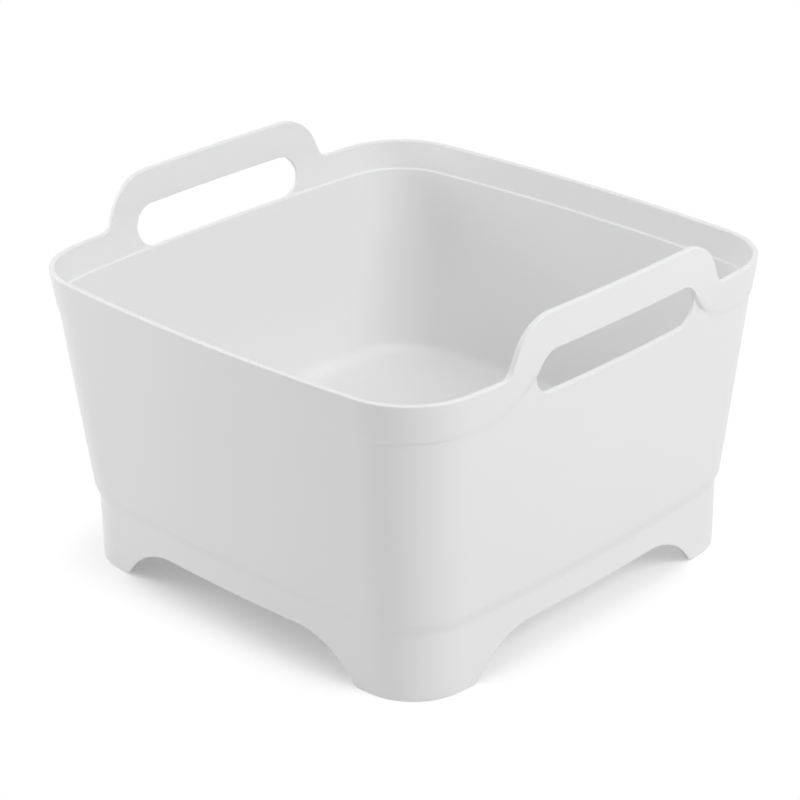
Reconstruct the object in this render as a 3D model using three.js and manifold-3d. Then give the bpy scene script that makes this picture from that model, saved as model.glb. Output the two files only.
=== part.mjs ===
// A square washing-up basin that drains: a one-piece moulded tub with two raised
// handles and four corner feet, and a lift-and-turn plug over a strainer in its floor.
// Millimetres, +Z up. The origin is on the table, under the middle of the tub, and the
// handles stand on the +X and -X sides.
import * as THREE from "three";
import { mergeVertices } from "three/addons/utils/BufferGeometryUtils.js";
import Module from "manifold-3d";

const wasm = await Module();
wasm.setup();

// Tub: plan and rim band
const rimWidth = 304; // across the rim, side to side
const rimHeight = 173.5; // rim above the table
const rimCornerRadius = 44;
const sideBowRadius = 1270; // each side bulges gently on this radius
const bandHeight = 21; // flared band under the rim, seen from outside
const bandFlare = 3.1; // the band leans out this far over its height
const bandThickness = 3.2;
const bandStep = 0.7; // the band stands proud of the wall below it
const ledgeDepth = 17; // rim down to the narrow ledge inside

// Tub: walls, floor and feet
const wallThickness = 3.3;
const wallLean = 12.2; // the wall leans in this far from band to base
const baseCornerRadius = 31;
const baseRound = 6; // rounding under the wall, where the skirt starts
const skirtInset = 3; // the skirt stands in from the wall above it
const skirtHeight = 38.5;
const skirtThickness = 3;
const floorHeight = 42; // floor at the walls
const floorThickness = 3;
const floorRound = 9; // fillet between wall and floor
const floorFall = 2.5; // the floor drops this far towards the drain
const fallRadius = 112; // where the drop begins

// Tub: arches between the feet
const archHeight = 23.3;
const archTopWidth = 96;
const archShoulderRadius = 45.6;
const archFlankAngle = 60; // degrees from the table

// Tub: handles
const handleRise = 28; // above the rim
const handleTopWidth = 106; // straight part of the grip's top edge
const handleShoulderRadius = 26;
const handleSideAngle = 66; // degrees from the rim
const handleFootRadius = 7;
const slotLength = 123;
const slotHeight = 24.5;
const scoopRadius = 34; // below the slot the band sweeps away on this radius

// Drain well in the floor
const wellRadius = 46;
const wellDepth = 9; // from the floor's edge down to the seat
const wellWall = 3;
const seatThickness = 3;
const drainRadius = 36; // hole through the seat

// Strainer, its gasket and its lock ring
const seatGap = 0.3; // between faces that rest on each other
const flangeClearance = 0.5; // flange to well wall
const flangeThickness = 2.5;
const gasketThickness = 1.5;
const cupClearance = 0.5; // cup to drain hole
const cupWall = 2.5;
const cupDepth = 23; // flange top to the underside of the cup
const cupFloor = 2.5;
const hubRadius = 11;
const hubHeight = 4.5;
const drainHoleRadius = 2.1;
const drainHolePitch = 6.7; // between holes, and between rings of holes
const drainHoleMargin = 2; // from the pattern to the hub and to the cup's wall
const lockRingHeight = 8;
const lockRingRadius = 44;
const lockRingClearance = 0.4; // ring to cup
const lockRingNotches = 10;
const lockNotchRadius = 4;

// Plug: disc, seal, stem and grip
const plugDiscRadius = 41.5;
const plugDiscThickness = 3.6;
const plugEdgeDrop = 1.6; // the disc's top falls this far to its edge
const plugFlatRadius = 31;
const spigotDepth = 3.5; // ring under the disc that centres it in the cup
const spigotWall = 2.5;
const spigotClearance = 0.6;
const sealThickness = 2;
const sealWidth = 6;
const stemRadius = 4.5;
const stemClearance = 0.4; // stem to the disc and the hub
const stemCollarRadius = 7.5;
const stemCollarHeight = 3;
const lugReach = 8.5; // bayonet lugs, from the stem's axis
const lugWidth = 4.4;
const lugHeight = 3.6;
const lugClearance = 0.5; // lugs to their keyway
const gripLength = 56;
const gripWidth = 13;
const gripHeight = 17;
const gripBossRadius = 10.5;
const gripBossHeight = 9;
const gripSocketDepth = 12;

// Facets
const cornerSteps = 9;
const sideSteps = 6;
const roundSteps = 56;
const smallSteps = 24;
const holeSteps = 8;

// Places worked out from the sizes above
const rimHalf = rimWidth / 2;
const bandFoot = rimHeight - bandHeight;
const ledgeHeight = rimHeight - ledgeDepth;
const handleTop = rimHeight + handleRise;
const wellTop = floorHeight - floorFall;
const seatTop = wellTop - wellDepth;
const seatBottom = seatTop - seatThickness;
const gasketBottom = seatTop + seatGap;
const flangeBottom = gasketBottom + gasketThickness + seatGap;
const flangeTop = flangeBottom + flangeThickness;
const flangeRadius = wellRadius - flangeClearance;
const cupRadius = drainRadius - cupClearance;
const cupBore = cupRadius - cupWall;
const cupBottom = flangeTop - cupDepth;
const sealBottom = flangeTop + seatGap;
const discBottom = sealBottom + sealThickness + seatGap;
const discTop = discBottom + plugDiscThickness;
const spigotRadius = cupBore - spigotClearance;
const gripBottom = discTop + seatGap;
const lugTop = cupBottom - seatGap;
const lugBottom = lugTop - lugHeight;

// Solids

function solidOf(geometry) {
  const bare = geometry.clone();
  bare.deleteAttribute("normal");
  bare.deleteAttribute("uv");
  const merged = mergeVertices(bare, 1e-4);
  const vertProperties = new Float32Array(merged.attributes.position.array);
  const triVerts = new Uint32Array(merged.index.array);
  const make = () => new wasm.Manifold(new wasm.Mesh({ numProp: 3, vertProperties, triVerts }));
  const solid = make();
  if (solid.volume() > 0) return solid;
  for (let i = 0; i < triVerts.length; i += 3) {
    [triVerts[i + 1], triVerts[i + 2]] = [triVerts[i + 2], triVerts[i + 1]];
  }
  return make();
}

function geometryOf(solid) {
  const { vertProperties, triVerts } = solid.getMesh();
  const geometry = new THREE.BufferGeometry();
  geometry.setAttribute("position", new THREE.BufferAttribute(vertProperties, 3));
  geometry.setIndex(new THREE.BufferAttribute(triVerts, 1));
  geometry.computeVertexNormals();
  return geometry;
}

// A quarter turn that brings a profile's height onto Z
function revolve(profile, steps = roundSteps) {
  const points = profile.map(([radius, height]) => new THREE.Vector2(radius, height));
  const closed = [...points, points[0]];
  return solidOf(new THREE.LatheGeometry(closed, steps).rotateX(Math.PI / 2));
}

function disc(radius, bottom, top, steps = roundSteps) {
  const height = top - bottom;
  const cylinder = new THREE.CylinderGeometry(radius, radius, height, steps);
  return solidOf(cylinder.rotateX(Math.PI / 2).translate(0, 0, bottom + height / 2));
}

function ring(outer, inner, bottom, top, steps = roundSteps) {
  return revolve([[inner, bottom], [outer, bottom], [outer, top], [inner, top]], steps);
}

function block(x, y, bottom, top) {
  const height = top - bottom;
  return solidOf(new THREE.BoxGeometry(x, y, height).translate(0, 0, bottom + height / 2));
}

// A shape drawn across and up, run right through the tub along X or along Y
function through(shape, along) {
  const length = 2 * rimWidth;
  const prism = new THREE.ExtrudeGeometry(shape, { depth: length, bevelEnabled: false, curveSegments: 10 });
  prism.translate(0, 0, -length / 2).rotateX(Math.PI / 2);
  if (along === "x") prism.rotateZ(Math.PI / 2);
  return solidOf(prism);
}

// The tub's plan: four bowed sides joined by tangent corner arcs
function planPoints(half, corner) {
  const bowOffset = sideBowRadius - half;
  const reach = sideBowRadius - corner;
  const centre = (Math.sqrt(2 * reach * reach - bowOffset * bowOffset) - bowOffset) / 2;
  const sideAngle = Math.atan2(centre, centre + bowOffset);
  const quarter = [];
  for (let i = 1; i < sideSteps; i++) {
    const angle = sideAngle * ((2 * i) / sideSteps - 1);
    quarter.push(new THREE.Vector2(sideBowRadius * Math.cos(angle) - bowOffset, sideBowRadius * Math.sin(angle)));
  }
  for (let i = 0; i <= cornerSteps; i++) {
    const angle = sideAngle + (Math.PI / 2 - 2 * sideAngle) * (i / cornerSteps);
    quarter.push(new THREE.Vector2(centre + corner * Math.cos(angle), centre + corner * Math.sin(angle)));
  }
  const origin = new THREE.Vector2();
  return [0, 1, 2, 3].flatMap((turn) => quarter.map((p) => p.clone().rotateAround(origin, (turn * Math.PI) / 2)));
}

// A solid through plan sections, lowest first: each level is [half width, corner radius, height]
function loft(levels) {
  const rings = levels.map(([half, corner]) => planPoints(half, corner));
  const count = rings[0].length;
  const positions = rings.flatMap((points, level) => points.flatMap((p) => [p.x, p.y, levels[level][2]]));
  const index = [];
  for (let level = 0; level + 1 < rings.length; level++) {
    for (let i = 0; i < count; i++) {
      const a = level * count + i;
      const b = level * count + ((i + 1) % count);
      index.push(a, b, b + count, a, b + count, a + count);
    }
  }
  const cap = (level, facingUp) => {
    const centre = positions.length / 3;
    positions.push(0, 0, levels[level][2]);
    for (let i = 0; i < count; i++) {
      const a = level * count + i;
      const b = level * count + ((i + 1) % count);
      index.push(...(facingUp ? [centre, a, b] : [centre, b, a]));
    }
  };
  cap(0, false);
  cap(rings.length - 1, true);
  const geometry = new THREE.BufferGeometry();
  geometry.setAttribute("position", new THREE.Float32BufferAttribute(positions, 3));
  geometry.setIndex(index);
  return solidOf(geometry);
}

// Tub sections

const wallTopHalf = rimHalf - bandFlare - bandStep;
const wallTopCorner = rimCornerRadius - bandFlare - bandStep;
const wallBottomHalf = wallTopHalf - wallLean;
const baseTop = skirtHeight + baseRound;
const skirtHalf = wallBottomHalf - skirtInset;
const skirtCorner = baseCornerRadius - skirtInset;

// How far up the wall a height lies: 0 where the base rounding starts, 1 under the band
function wallSection(height, inset = 0) {
  const share = (height - baseTop) / (bandFoot - baseTop);
  const half = wallBottomHalf + share * wallLean;
  const corner = baseCornerRadius + share * (wallTopCorner - baseCornerRadius);
  return [half - inset, corner - inset, height];
}

function bandSection(height, inset = 0) {
  const lean = (bandFlare * Math.min(height - bandFoot, bandHeight)) / bandHeight;
  const half = rimHalf - bandFlare + lean;
  const corner = rimCornerRadius - bandFlare + lean;
  return [half - inset, corner - inset, height];
}

// A quarter round from a wall section down and inwards, as section levels, lowest first
function roundedFoot([half, corner, height], radius, drop, steps) {
  return Array.from({ length: steps }, (_, i) => {
    const angle = (Math.PI / 2) * (1 - i / steps);
    const inward = radius * (1 - Math.cos(angle));
    return [half - inward, corner - inward, height - drop * Math.sin(angle)];
  });
}

function tubOutside() {
  const wallFoot = wallSection(baseTop);
  const skirtTop = [skirtHalf, skirtCorner, skirtHeight];
  return loft([
    [skirtHalf, skirtCorner, 0],
    skirtTop,
    ...roundedFoot(wallFoot, skirtInset, baseRound, 4).slice(1),
    wallFoot,
    wallSection(bandFoot),
    bandSection(bandFoot),
    bandSection(rimHeight),
    bandSection(handleTop),
  ]);
}

function tubInside() {
  const filletTop = wallSection(floorHeight + floorRound, wallThickness);
  return loft([
    ...roundedFoot(filletTop, floorRound, floorRound, 5),
    filletTop,
    wallSection(ledgeHeight, wallThickness),
    bandSection(ledgeHeight, bandThickness),
    bandSection(rimHeight, bandThickness),
    bandSection(handleTop + handleRise, bandThickness),
  ]);
}

function underFloor() {
  const half = skirtHalf - skirtThickness;
  const corner = skirtCorner - skirtThickness;
  return loft([
    [half, corner, -archHeight],
    [half, corner, floorHeight - floorThickness],
  ]);
}

// A flat-topped outline whose shoulders are arcs running into slanted sides
function archShape() {
  const angle = THREE.MathUtils.degToRad(archFlankAngle);
  const shoulder = archTopWidth / 2 + archShoulderRadius * Math.sin(angle);
  const shoulderHeight = archHeight - archShoulderRadius * (1 - Math.cos(angle));
  const below = archHeight;
  const foot = shoulder + (shoulderHeight + below) / Math.tan(angle);
  const arcCentre = archHeight - archShoulderRadius;
  return new THREE.Shape()
    .moveTo(-foot, -below)
    .lineTo(foot, -below)
    .lineTo(shoulder, shoulderHeight)
    .absarc(archTopWidth / 2, arcCentre, archShoulderRadius, Math.PI / 2 - angle, Math.PI / 2, false)
    .absarc(-archTopWidth / 2, arcCentre, archShoulderRadius, Math.PI / 2, Math.PI / 2 + angle, false);
}

// The handle's outline above the rim: foot fillets, slanted sides and round shoulders
function handleShape() {
  const angle = THREE.MathUtils.degToRad(handleSideAngle);
  const topHalf = handleTopWidth / 2;
  const shoulder = topHalf + handleShoulderRadius * Math.sin(angle);
  const shoulderHeight = handleTop - handleShoulderRadius * (1 - Math.cos(angle));
  const filletHeight = rimHeight + handleFootRadius * (1 - Math.cos(angle));
  const fillet = shoulder + (shoulderHeight - filletHeight) / Math.tan(angle);
  const foot = fillet + handleFootRadius * Math.sin(angle);
  const footCentre = rimHeight + handleFootRadius;
  const shoulderCentre = handleTop - handleShoulderRadius;
  const up = Math.PI / 2;
  return new THREE.Shape()
    .moveTo(-foot, rimHeight - bandHeight)
    .lineTo(foot, rimHeight - bandHeight)
    .lineTo(foot, rimHeight)
    .absarc(foot, footCentre, handleFootRadius, -up, -up - angle, true)
    .absarc(topHalf, shoulderCentre, handleShoulderRadius, up - angle, up, false)
    .absarc(-topHalf, shoulderCentre, handleShoulderRadius, up, up + angle, false)
    .absarc(-foot, footCentre, handleFootRadius, angle - up, -up, true);
}

function slotShape() {
  const end = slotHeight / 2;
  const straight = slotLength / 2 - end;
  const middle = ledgeHeight + end;
  return new THREE.Shape()
    .moveTo(-straight, ledgeHeight)
    .lineTo(straight, ledgeHeight)
    .absarc(straight, middle, end, -Math.PI / 2, Math.PI / 2, false)
    .absarc(-straight, middle, end, Math.PI / 2, (3 * Math.PI) / 2, false);
}

// Around the slot the band ends in two sweeps, tangent to the slot's ends, so that the wall runs flush up to it
function scoop() {
  const end = slotHeight / 2;
  const straight = slotLength / 2 - end;
  const middle = ledgeHeight + end;
  const sweepTop = bandFoot + scoopRadius;
  const sweep = straight + Math.sqrt((end + scoopRadius) ** 2 - (sweepTop - middle) ** 2);
  const tangent = Math.atan2(middle - sweepTop, straight - sweep);
  const outline = new THREE.Shape()
    .moveTo(-sweep, bandFoot)
    .lineTo(sweep, bandFoot)
    .absarc(sweep, sweepTop, scoopRadius, -Math.PI / 2, tangent, true)
    .absarc(-sweep, sweepTop, scoopRadius, -Math.PI - tangent, -Math.PI / 2, true);
  return through(outline, "x").subtract(loft([wallSection(baseTop), wallSection(handleTop)]));
}

// The floor's fall to the drain, and the well that holds the strainer
function drainDish() {
  const floorBottom = floorHeight - floorThickness;
  return revolve([
    [drainRadius, seatBottom],
    [wellRadius + wellWall, seatBottom],
    [wellRadius + wellWall, floorBottom - floorFall],
    [fallRadius, floorBottom],
    [fallRadius, floorHeight],
    [wellRadius, wellTop],
    [wellRadius, seatTop],
    [drainRadius, seatTop],
  ]);
}

function drainSpace() {
  return revolve([
    [0, seatBottom - floorThickness],
    [drainRadius, seatBottom - floorThickness],
    [drainRadius, seatTop],
    [wellRadius, seatTop],
    [wellRadius, wellTop],
    [fallRadius, floorHeight],
    [fallRadius, floorHeight + floorThickness],
    [0, floorHeight + floorThickness],
  ]);
}

function tub() {
  const aboveRim = block(2 * rimWidth, 2 * rimWidth, rimHeight, handleTop + handleRise);
  return tubOutside()
    .subtract(tubInside())
    .subtract(underFloor())
    .subtract(aboveRim.subtract(through(handleShape(), "x")))
    .subtract(scoop())
    .subtract(through(slotShape(), "x"))
    .subtract(through(archShape(), "x"))
    .subtract(through(archShape(), "y"))
    .subtract(drainSpace())
    .add(drainDish());
}

// Drain pieces

function drainGasket() {
  return ring(flangeRadius, drainRadius, gasketBottom, gasketBottom + gasketThickness);
}

// The keyway that lets the stem's two lugs through at one angle
function keyway(clearance) {
  const bottom = cupBottom - lugHeight;
  const top = cupBottom + hubHeight + lugHeight;
  const reach = 2 * (lugReach + clearance);
  return disc(stemRadius + stemClearance, bottom, top, smallSteps)
    .add(block(reach, lugWidth + 2 * clearance, bottom, top));
}

// Rings of round holes over the cup's floor, as many as fit between its hub and its wall
function drainHoles() {
  const first = hubRadius + drainHoleMargin + drainHoleRadius;
  const last = cupBore - drainHoleMargin - drainHoleRadius;
  const gaps = Math.max(1, Math.floor((last - first) / drainHolePitch));
  return Array.from({ length: gaps + 1 }, (_, i) => first + ((last - first) * i) / gaps).flatMap((radius) => {
    const count = Math.floor((2 * Math.PI * radius) / drainHolePitch);
    return Array.from({ length: count }, (_, i) => {
      const angle = (2 * Math.PI * (i + 0.5)) / count;
      const hole = disc(drainHoleRadius, cupBottom - cupFloor, cupBottom + 2 * cupFloor, holeSteps);
      return hole.translate([radius * Math.cos(angle), radius * Math.sin(angle), 0]);
    });
  });
}

function strainerCup() {
  const cup = revolve([
    [0, cupBottom],
    [cupRadius, cupBottom],
    [cupRadius, flangeBottom],
    [flangeRadius, flangeBottom],
    [flangeRadius, flangeTop],
    [cupBore, flangeTop],
    [cupBore, cupBottom + cupFloor],
    [hubRadius, cupBottom + cupFloor],
    [hubRadius, cupBottom + hubHeight],
    [0, cupBottom + hubHeight],
  ]);
  return drainHoles().reduce((solid, hole) => solid.subtract(hole), cup).subtract(keyway(lugClearance));
}

function lockRing() {
  const top = seatBottom - seatGap;
  const body = ring(lockRingRadius, cupRadius + lockRingClearance, top - lockRingHeight, top);
  const notches = Array.from({ length: lockRingNotches }, (_, i) => {
    const angle = (2 * Math.PI * i) / lockRingNotches;
    const notch = disc(lockNotchRadius, top - 2 * lockRingHeight, top - lockRingHeight / 4, smallSteps);
    const reach = lockRingRadius + lockNotchRadius / 2;
    return notch.translate([reach * Math.cos(angle), reach * Math.sin(angle), 0]);
  });
  return notches.reduce((solid, notch) => solid.subtract(notch), body);
}

// Plug pieces

function plugDisc() {
  const bore = stemRadius + stemClearance;
  return revolve([
    [bore, discBottom],
    [spigotRadius - spigotWall, discBottom],
    [spigotRadius - spigotWall, discBottom - spigotDepth],
    [spigotRadius, discBottom - spigotDepth],
    [spigotRadius, discBottom],
    [plugDiscRadius, discBottom],
    [plugDiscRadius, discTop - plugEdgeDrop],
    [plugFlatRadius, discTop],
    [bore, discTop],
  ]);
}

function plugSeal() {
  const inner = spigotRadius + seatGap;
  const half = sealThickness / 2;
  const chamfer = half / 2;
  return revolve([
    [inner, sealBottom],
    [inner + sealWidth - chamfer, sealBottom],
    [inner + sealWidth, sealBottom + chamfer],
    [inner + sealWidth, sealBottom + sealThickness - chamfer],
    [inner + sealWidth - chamfer, sealBottom + sealThickness],
    [inner, sealBottom + sealThickness],
  ]);
}

// The stem turns in the disc, between its own collar and the grip
function plugStem() {
  const collarTop = discBottom - seatGap;
  const stem = revolve(
    [
      [0, lugBottom],
      [stemRadius, lugBottom],
      [stemRadius, collarTop - stemCollarHeight],
      [stemCollarRadius, collarTop - stemCollarHeight],
      [stemCollarRadius, collarTop],
      [stemRadius, collarTop],
      [stemRadius, gripBottom + gripSocketDepth - seatGap],
      [0, gripBottom + gripSocketDepth - seatGap],
    ],
    smallSteps,
  );
  return stem.add(block(2 * lugReach, lugWidth, lugBottom, lugTop));
}

// A pinch bar with rounded top corners, on a round boss
function plugGrip() {
  const half = gripLength / 2;
  const shoulder = gripWidth / 2;
  const crown = gripBottom + gripHeight;
  const face = new THREE.Shape()
    .moveTo(-half, gripBottom)
    .lineTo(half, gripBottom)
    .lineTo(half, crown - shoulder)
    .quadraticCurveTo(half, crown, half - shoulder, crown)
    .lineTo(shoulder - half, crown)
    .quadraticCurveTo(-half, crown, -half, crown - shoulder);
  const bevel = gripWidth / 4;
  const bar = new THREE.ExtrudeGeometry(face, {
    depth: gripWidth - 2 * bevel,
    curveSegments: 6,
    bevelThickness: bevel,
    bevelSize: bevel,
    bevelOffset: -bevel,
    bevelSegments: 3,
  });
  bar.translate(0, 0, bevel - gripWidth / 2).rotateX(Math.PI / 2);
  const boss = revolve(
    [
      [0, gripBottom],
      [gripBossRadius, gripBottom],
      [gripBossRadius, gripBottom + gripBossHeight / 2],
      [stemRadius, gripBottom + gripBossHeight],
      [0, gripBottom + gripBossHeight],
    ],
    smallSteps,
  );
  const below = gripBottom - gripSocketDepth;
  const socket = disc(stemRadius + seatGap, below, gripBottom + gripSocketDepth, smallSteps);
  return solidOf(bar).add(boss).subtract(socket);
}

// Finishes and assembly

const finish = (color, roughness) => new THREE.MeshStandardMaterial({ color, roughness, metalness: 0 });
const tubPlastic = finish(0xe4e4e4, 0.5);
const plugPlastic = finish(0x6f7376, 0.55);
const gripRubber = finish(0x55595c, 0.8);
const sealRubber = finish(0x8d9092, 0.85);

function piece(name, solid, material) {
  const mesh = new THREE.Mesh(geometryOf(solid), material);
  mesh.name = name;
  return mesh;
}

const plug = new THREE.Group();
plug.add(
  piece("plug_disc", plugDisc(), plugPlastic),
  piece("plug_seal", plugSeal(), sealRubber),
  piece("plug_stem", plugStem(), plugPlastic),
  piece("plug_grip", plugGrip(), gripRubber),
);

const basin = new THREE.Group();
basin.add(
  piece("tub", tub(), tubPlastic),
  piece("drain_gasket", drainGasket(), sealRubber),
  piece("strainer_cup", strainerCup(), tubPlastic),
  piece("lock_ring", lockRing(), plugPlastic),
  plug,
);

export default basin;
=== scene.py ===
import math

import bmesh
import bpy
from mathutils import Matrix, Vector
from mathutils.geometry import delaunay_2d_cdt


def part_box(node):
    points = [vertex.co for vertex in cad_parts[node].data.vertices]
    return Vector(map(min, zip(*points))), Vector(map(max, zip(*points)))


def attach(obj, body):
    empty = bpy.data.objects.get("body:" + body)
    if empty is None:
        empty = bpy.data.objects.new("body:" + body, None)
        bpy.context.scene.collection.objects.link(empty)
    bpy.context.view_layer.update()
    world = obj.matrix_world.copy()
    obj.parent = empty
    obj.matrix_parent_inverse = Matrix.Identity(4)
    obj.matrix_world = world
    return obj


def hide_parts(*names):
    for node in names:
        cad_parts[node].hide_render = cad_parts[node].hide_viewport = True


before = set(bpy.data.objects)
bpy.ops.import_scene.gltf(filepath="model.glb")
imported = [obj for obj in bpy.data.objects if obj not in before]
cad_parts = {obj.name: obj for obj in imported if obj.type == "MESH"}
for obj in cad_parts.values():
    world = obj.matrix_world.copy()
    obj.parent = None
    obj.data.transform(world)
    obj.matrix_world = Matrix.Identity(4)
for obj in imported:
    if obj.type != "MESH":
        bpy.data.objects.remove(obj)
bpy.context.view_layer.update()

scene = bpy.context.scene
scene.view_settings.view_transform = "Standard"
mm = 0.001


# camera, read back from the photo
view = {
    "azimuth": 44.04, "elevation": 25.63, "roll": -0.9,  # degrees
    "distance": 1.4125, "targetHeight": 0.07355,
    "lens": 114.77, "sensor": 36.0, "shiftX": -0.0084, "shiftY": 0.0302,
}


def addCamera():
    azimuth, elevation, roll = (math.radians(view[k]) for k in ("azimuth", "elevation", "roll"))
    back = Vector((
        math.sin(azimuth) * math.cos(elevation),
        -math.cos(azimuth) * math.cos(elevation),
        math.sin(elevation),
    ))
    right = Vector((math.cos(azimuth), math.sin(azimuth), 0))
    up = back.cross(right)
    rolledRight = right * math.cos(roll) + up * math.sin(roll)
    rolledUp = up * math.cos(roll) - right * math.sin(roll)
    data = bpy.data.cameras.new("camera")
    data.lens = view["lens"]
    data.sensor_width = view["sensor"]
    data.shift_x = view["shiftX"]
    data.shift_y = view["shiftY"]
    camera = bpy.data.objects.new("camera", data)
    scene.collection.objects.link(camera)
    place = Vector((0, 0, view["targetHeight"])) + back * view["distance"]
    turn = Matrix((rolledRight, rolledUp, back)).transposed()
    camera.matrix_world = Matrix.Translation(place) @ turn.to_4x4()
    scene.camera = camera


addCamera()
print("camera placed")


# shader groups and materials

def addNode(tree, kind, inputs, **settings):
    # a node with its settings made, and its inputs linked or set by name or number
    node = tree.nodes.new(kind)
    for name, value in settings.items():
        setattr(node, name, value)
    for name, value in inputs.items():
        if isinstance(value, bpy.types.NodeSocket):
            tree.links.new(value, node.inputs[name])
        else:
            node.inputs[name].default_value = value
    return node


def addSockets(tree, direction, sockets):
    for name, kind in sockets:
        tree.interface.new_socket(name=name, in_out=direction, socket_type="NodeSocket" + kind)


grainSkin = {"driftDetail": 3, "grainDetail": 2, "grainShare": 0.5, "bump": 0.05}  # bump in millimetres


def mouldedGrainGroup():
    # even moulded skin: slow shifts of tone and gloss, and a fine spark-eroded grain
    group = bpy.data.node_groups.new("mouldedGrain", "ShaderNodeTree")
    addSockets(group, "INPUT", [
        ("Light", "Color"), ("Shade", "Color"), ("Roughness Low", "Float"), ("Roughness High", "Float"),
        ("Drift Scale", "Float"), ("Grain Scale", "Float"), ("Grain Depth", "Float"),
    ])
    addSockets(group, "OUTPUT", [("Color", "Color"), ("Roughness", "Float"), ("Normal", "Vector")])
    given = group.nodes.new("NodeGroupInput").outputs
    place = group.nodes.new("ShaderNodeTexCoord").outputs["Object"]
    drift = addNode(group, "ShaderNodeTexNoise", {
        "Vector": place, "Scale": given["Drift Scale"], "Detail": grainSkin["driftDetail"],
    }).outputs["Fac"]
    grain = addNode(group, "ShaderNodeTexNoise", {
        "Vector": place, "Scale": given["Grain Scale"], "Detail": grainSkin["grainDetail"],
    }).outputs["Fac"]
    tone = addNode(group, "ShaderNodeMix", {
        "Factor": drift, "A": given["Light"], "B": given["Shade"],
    }, data_type="RGBA")
    share = grainSkin["grainShare"]
    slow = addNode(group, "ShaderNodeMath", {0: drift, 1: 1 - share}, operation="MULTIPLY").outputs[0]
    both = addNode(group, "ShaderNodeMath", {0: grain, 1: share, 2: slow}, operation="MULTIPLY_ADD")
    gloss = addNode(group, "ShaderNodeMapRange", {
        "Value": both.outputs[0], "To Min": given["Roughness Low"], "To Max": given["Roughness High"],
    })
    bump = addNode(group, "ShaderNodeBump", {
        "Distance": grainSkin["bump"] * mm, "Strength": given["Grain Depth"], "Height": grain,
    })
    addNode(group, "NodeGroupOutput", {
        "Color": tone.outputs["Result"], "Roughness": gloss.outputs["Result"],
        "Normal": bump.outputs["Normal"],
    })
    return group


mouldedGrain = mouldedGrainGroup()

finishes = {
    "tubPlastic": {
        "light": (0.865, 0.865, 0.868), "shade": (0.85, 0.85, 0.853), "roughness": (0.36, 0.46),
        "drift": 14.0, "grain": 1800.0, "depth": 0.12, "specular": 0.48,
    },
    "strainerPlastic": {
        "light": (0.57, 0.58, 0.585), "shade": (0.53, 0.54, 0.545), "roughness": (0.36, 0.48),
        "drift": 30.0, "grain": 2200.0, "depth": 0.12, "specular": 0.45,
    },
    "plugPlastic": {
        "light": (0.35, 0.36, 0.37), "shade": (0.31, 0.32, 0.33), "roughness": (0.38, 0.52),
        "drift": 30.0, "grain": 2200.0, "depth": 0.15, "specular": 0.45,
    },
    "gripRubber": {
        "light": (0.165, 0.172, 0.178), "shade": (0.135, 0.14, 0.146), "roughness": (0.62, 0.78),
        "drift": 40.0, "grain": 2600.0, "depth": 0.30, "specular": 0.35,
    },
    "sealRubber": {
        "light": (0.44, 0.45, 0.46), "shade": (0.38, 0.39, 0.40), "roughness": (0.55, 0.70),
        "drift": 40.0, "grain": 2400.0, "depth": 0.20, "specular": 0.40,
    },
}


def makeFinish(name):
    look = finishes[name]
    low, high = look["roughness"]
    material = bpy.data.materials.new(name)
    material.use_nodes = True
    tree = material.node_tree
    grain = addNode(tree, "ShaderNodeGroup", {
        "Light": (*look["light"], 1), "Shade": (*look["shade"], 1),
        "Roughness Low": low, "Roughness High": high,
        "Drift Scale": look["drift"], "Grain Scale": look["grain"], "Grain Depth": look["depth"],
    }, node_tree=mouldedGrain)
    skin = tree.nodes["Principled BSDF"]
    skin.inputs["Specular IOR Level"].default_value = look["specular"]
    for output, socket in (("Color", "Base Color"), ("Roughness", "Roughness"), ("Normal", "Normal")):
        tree.links.new(grain.outputs[output], skin.inputs[socket])
    return material


materials = {name: makeFinish(name) for name in finishes}
print("finishes made")


# tub: sizes in millimetres, as moulded
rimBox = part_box("tub")
tub = {
    "rimHalf": rimBox[1].x / mm, "top": rimBox[1].z / mm, "rim": 173.5, "rimCorner": 44, "bow": 1270,
    "bandHeight": 21, "bandFlare": 3.1, "bandThickness": 3.2, "bandStep": 0.7, "ledgeDepth": 17,
    "wallThickness": 3.3, "wallLean": 10.2, "baseCorner": 37.5, "baseRound": 6, "baseEase": 2.2,
    "skirtInset": 2.5, "skirt": 38.5, "skirtThickness": 3,
    "floor": 42, "floorThickness": 3, "floorRound": 9, "floorFall": 2.5, "fallRadius": 112, "fallEase": 0.5,
    "archHeight": 23.3, "archTop": 96, "archRadius": 45.6, "archAngle": 60, "archFoot": 6,
    "handleTop": 106, "shoulder": 26, "sideAngle": 66, "handleFoot": 7,
    "slotLength": 123, "slotHeight": 24.5, "sweep": 44,
    "well": 46, "wellDepth": 9, "wellWall": 3, "seat": 3, "drain": 36,
    # roundings of edges, and the most that one takes of a wall's thickness
    "rimRound": 0.6, "footRound": 0.6, "wellRound": 1.2, "roundShare": 0.45,
    "seatEase": 0.4, "drainEase": 0.3, "collarEase": 0.6, "underEase": 1.0, "skirtEase": 1.5,
    "skirtKnee": 0.45,
    # steps of the ledge and the band; the band's step is crisp at the corners and beside the slots
    "ledgeRamp": 0.6, "rimEase": 8, "crispStep": 0.8, "softStep": 6.0, "crispEnd": 68, "softEnd": 82,
    "cornerCrisp": 1.3, "cornerFade": 3.4,
}
mesh = {
    "panelHalf": 96, "sideCells": 48, "cornerCells": 22, "panelCell": 4.0, "arcCell": 1.1, "roundCells": 5,
    "belowBand": 12.0, "aboveArch": 6.0,  # where the panels with slots and arches meet the plain rings
    "lowCells": 3, "bandCells": 4, "skirtCells": 5, "kneeCells": 2, "easeCells": 12, "wallCells": 12,
    "filletCells": 10, "dishCells": 14, "lipCells": 4, "underCells": 12,
    "lineGap": 0.3, "cellGap": 0.4, "inward": 0.9999, "join": 1e-6, "digits": 4, "fine": 1e-5, "onEdge": 1e-4,
    "weld": 0.02, "sharpAngle": 180.0,
}
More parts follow.
